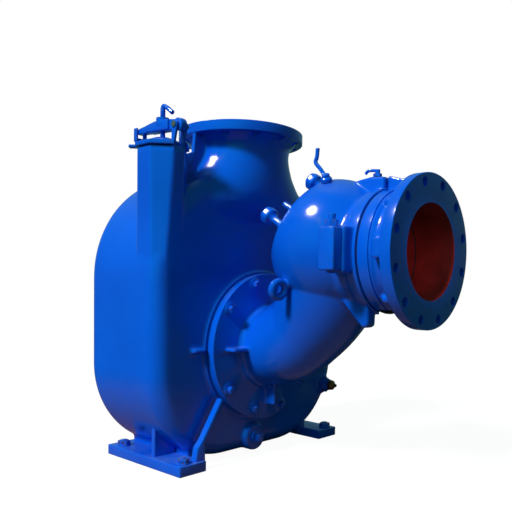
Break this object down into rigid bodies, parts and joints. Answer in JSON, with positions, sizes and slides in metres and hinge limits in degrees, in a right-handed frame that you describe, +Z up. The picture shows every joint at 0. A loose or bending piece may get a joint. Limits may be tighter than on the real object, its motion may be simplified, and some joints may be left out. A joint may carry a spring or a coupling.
{
  "type": "self-priming sewage pump",
  "caption": "Self-priming centrifugal sewage pump with cast casing on feet, flanged suction head, flanged discharge, clamped fill port and bearing frame.",
  "frame": {"origin": "on the ground under the middle of the whole pump's box", "axes": "+X along the suction axis, out of the suction flange; +Y across the pump, away from the fill port; +Z up"},
  "size_m": [1.3556, 0.824, 1.057],
  "materials": {
    "blue_enamel": "glossy enamel over rough casting",
    "plated_steel": "zinc plated, satin",
    "black_rubber": "matt",
    "red_brass": "dull",
    "sight_glass": "clear"
  },
  "bodies": {
    "pump": {"suction_spool": "blue_enamel", "valve_gasket": "black_rubber", "suction_head": "blue_enamel", "access_gasket": "black_rubber", "access_cover": "blue_enamel", "flap_hinge_pin": "plated_steel", "lifting_eye": "blue_enamel", "cover_gasket": "black_rubber", "casing": "blue_enamel", "fill_gasket": "black_rubber", "clamp_pin": "plated_steel", "latch_yoke": "blue_enamel", "drain_plug": "plated_steel", "relief_valve": "plated_steel", "relief_cap": "red_brass", "air_cock": "blue_enamel", "petcock": "plated_steel", "back_gasket": "black_rubber", "back_cover": "blue_enamel", "bearing_frame": "blue_enamel", "bearing_cap": "blue_enamel", "drive_shaft": "plated_steel", "shaft_key": "plated_steel", "oil_fill_plug": "plated_steel", "oil_sight_glass": "sight_glass"},
    "fill_clamp": {"clamp_bar": "blue_enamel", "fill_cover": "blue_enamel"},
    "screw": {"clamp_screw": "plated_steel"},
    "knob_1": {"hand_knob_1": "blue_enamel"},
    "knob_2": {"hand_knob_2": "blue_enamel"},
    "knob_3": {"hand_knob_3": "blue_enamel"},
    "knob_4": {"hand_knob_4": "blue_enamel"}
  },
  "joints": [
    {"name": "fill_cover_swing", "type": "hinge", "parent": "pump", "child": "fill_clamp", "pos_m": [0.0718, -0.34, 0.986], "axis": [0, 1, 0], "range_deg": [0, 100]},
    {"name": "clamp_screw_turn", "type": "hinge", "parent": "fill_clamp", "child": "screw", "pos_m": [-0.0062, -0.34, 1], "axis": [0, 0, 1], "continuous": true},
    {"name": "knob_1_turn", "type": "hinge", "parent": "pump", "child": "knob_1", "pos_m": [0.33917, 0, 0.82175], "axis": [-0.866, 0, 0.5], "continuous": true},
    {"name": "knob_2_turn", "type": "hinge", "parent": "pump", "child": "knob_2", "pos_m": [0.27667, -0.125, 0.7135], "axis": [-0.866, 0, 0.5], "continuous": true},
    {"name": "knob_3_turn", "type": "hinge", "parent": "pump", "child": "knob_3", "pos_m": [0.21417, 0, 0.60525], "axis": [-0.866, 0, 0.5], "continuous": true},
    {"name": "knob_4_turn", "type": "hinge", "parent": "pump", "child": "knob_4", "pos_m": [0.27667, 0.125, 0.7135], "axis": [-0.866, 0, 0.5], "continuous": true}
  ]
}
